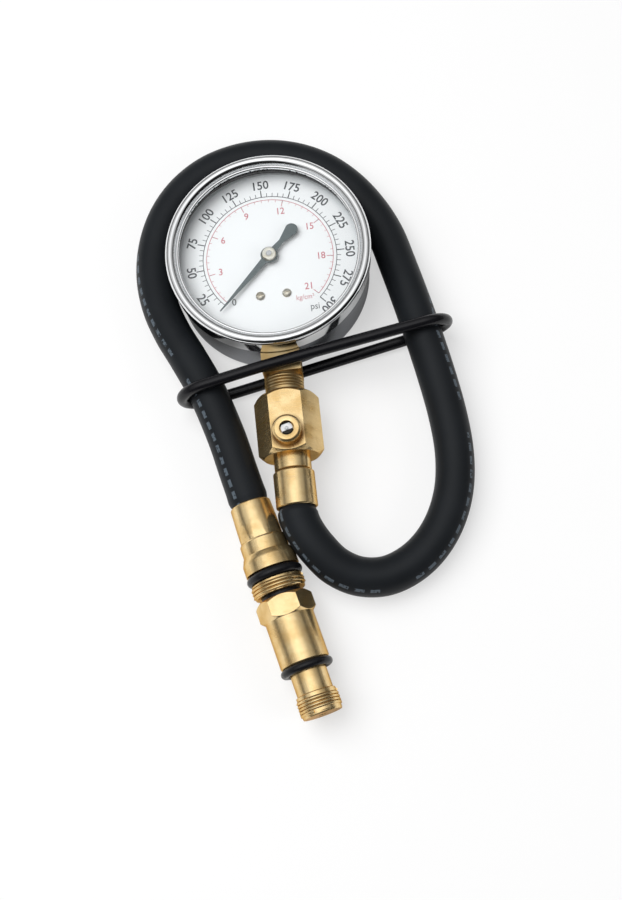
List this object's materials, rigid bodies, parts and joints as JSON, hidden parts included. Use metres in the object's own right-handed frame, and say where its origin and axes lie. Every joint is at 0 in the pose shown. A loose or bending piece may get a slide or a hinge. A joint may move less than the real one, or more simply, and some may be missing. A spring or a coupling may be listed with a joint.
{
  "type": "compression tester",
  "caption": "Round chromed pressure gauge on a brass bleed valve, with a looped rubber hose ending in a brass spark plug adapter, and a rubber band round both hose legs.",
  "frame": {"origin": "centre of the gauge case's flat back, on the table", "axes": "+Z out of the dial along the pointer's arbor, +Y from the stem to the top of the dial, +X to the dial's right"},
  "size_m": [0.1061, 0.2024, 0.028],
  "materials": {
    "case_chrome": "dark polished chrome plate",
    "bezel_chrome": "bright chrome plate",
    "window_clear": "clear",
    "dial_white": "printed satin white",
    "pointer_dark": "satin black",
    "brass_yellow": "bright turned brass",
    "bronze_tube": "drawn bronze",
    "steel_plain": "ground steel",
    "spring_steel": "blued spring steel",
    "hose_rubber": "smooth black rubber",
    "seal_rubber": "black rubber"
  },
  "bodies": {
    "gauge_and_hose": {"gauge_case": "case_chrome", "bezel_ring": "bezel_chrome", "window_lens": "window_clear", "window_gasket": "seal_rubber", "dial_plate": "dial_white", "dial_screws": "brass_yellow", "dial_posts": "brass_yellow", "hairspring": "spring_steel", "movement_back_plate": "brass_yellow", "movement_front_plate": "brass_yellow", "movement_pillars": "brass_yellow", "movement_screws": "steel_plain", "case_screws": "steel_plain", "stem_socket": "brass_yellow", "valve_body": "brass_yellow", "bleed_port": "brass_yellow", "bleed_core": "steel_plain", "bleed_spring": "spring_steel", "gauge_nipple": "brass_yellow", "gauge_ferrule": "brass_yellow", "hose": "hose_rubber", "far_ferrule": "brass_yellow", "hose_end": "brass_yellow", "large_seal_ring": "seal_rubber", "retaining_band": "seal_rubber"},
    "pointer_set": {"pointer": "pointer_dark", "pointer_boss": "brass_yellow", "pinion_arbor": "steel_plain"},
    "sector_set": {"sector_gear": "brass_yellow", "sector_arbor": "steel_plain"},
    "tube_set": {"bourdon_tube": "bronze_tube", "tube_tip": "brass_yellow"},
    "link": {"link_bar": "brass_yellow"},
    "bleed_pin_set": {"bleed_pin": "steel_plain"},
    "seal_washer": {"flat_seal": "seal_rubber"},
    "adapter": {"adapter_body": "brass_yellow", "small_seal_ring": "seal_rubber", "check_core": "steel_plain", "check_spring": "spring_steel"},
    "check_pin_set": {"check_pin": "steel_plain"}
  },
  "joints": [
    {"name": "pointer_sweep", "type": "hinge", "parent": "gauge_and_hose", "child": "pointer_set", "pos_m": [0, 0, 0.0125], "axis": [0, 0, -1], "range_deg": [0, 270]},
    {"name": "sector_turn", "type": "hinge", "parent": "gauge_and_hose", "child": "sector_set", "pos_m": [0.01433, -0.0014, 0.0115], "axis": [0, 0, 1], "range_deg": [0, 54]},
    {"name": "tube_flex", "type": "hinge", "parent": "gauge_and_hose", "child": "tube_set", "pos_m": [-0.0049, -0.0235, 0.011], "axis": [0, 0, 1], "range_deg": [0, 6.85], "stiffness_Nm_per_rad": 0.005},
    {"name": "link_swing", "type": "hinge", "parent": "tube_set", "child": "link", "pos_m": [0.02307, -0.00662, 0.0152], "axis": [0, 0, -1], "range_deg": [0, 6.86]},
    {"name": "bleed_press", "type": "slide", "parent": "gauge_and_hose", "child": "bleed_pin_set", "axis": [0, 0, -1], "range_m": [0, 0.001], "stiffness_N_per_m": 400, "deforming": ["bleed_spring"]},
    {"name": "adapter_travel", "type": "slide", "parent": "gauge_and_hose", "child": "seal_washer", "axis": [0.2317, -0.9728, 0], "range_m": [0, 0.009]},
    {"name": "adapter_turn", "type": "hinge", "parent": "seal_washer", "child": "adapter", "pos_m": [-0.0153, -0.0812, 0.0093], "axis": [0.2317, -0.9728, 0], "range_deg": [0, 2160]},
    {"name": "check_press", "type": "slide", "parent": "adapter", "child": "check_pin_set", "axis": [-0.2317, 0.9728, 0], "range_m": [0, 0.001], "stiffness_N_per_m": 400}
  ],
  "couplings": [
    {"joint": "pointer_sweep", "follows": "tube_flex", "ratio": 39.41},
    {"joint": "sector_turn", "follows": "tube_flex", "ratio": 7.882},
    {"joint": "link_swing", "follows": "tube_flex", "ratio": 1},
    {"joint": "adapter_turn", "follows": "adapter_travel", "rad_per_m": 4188.8}
  ]
}
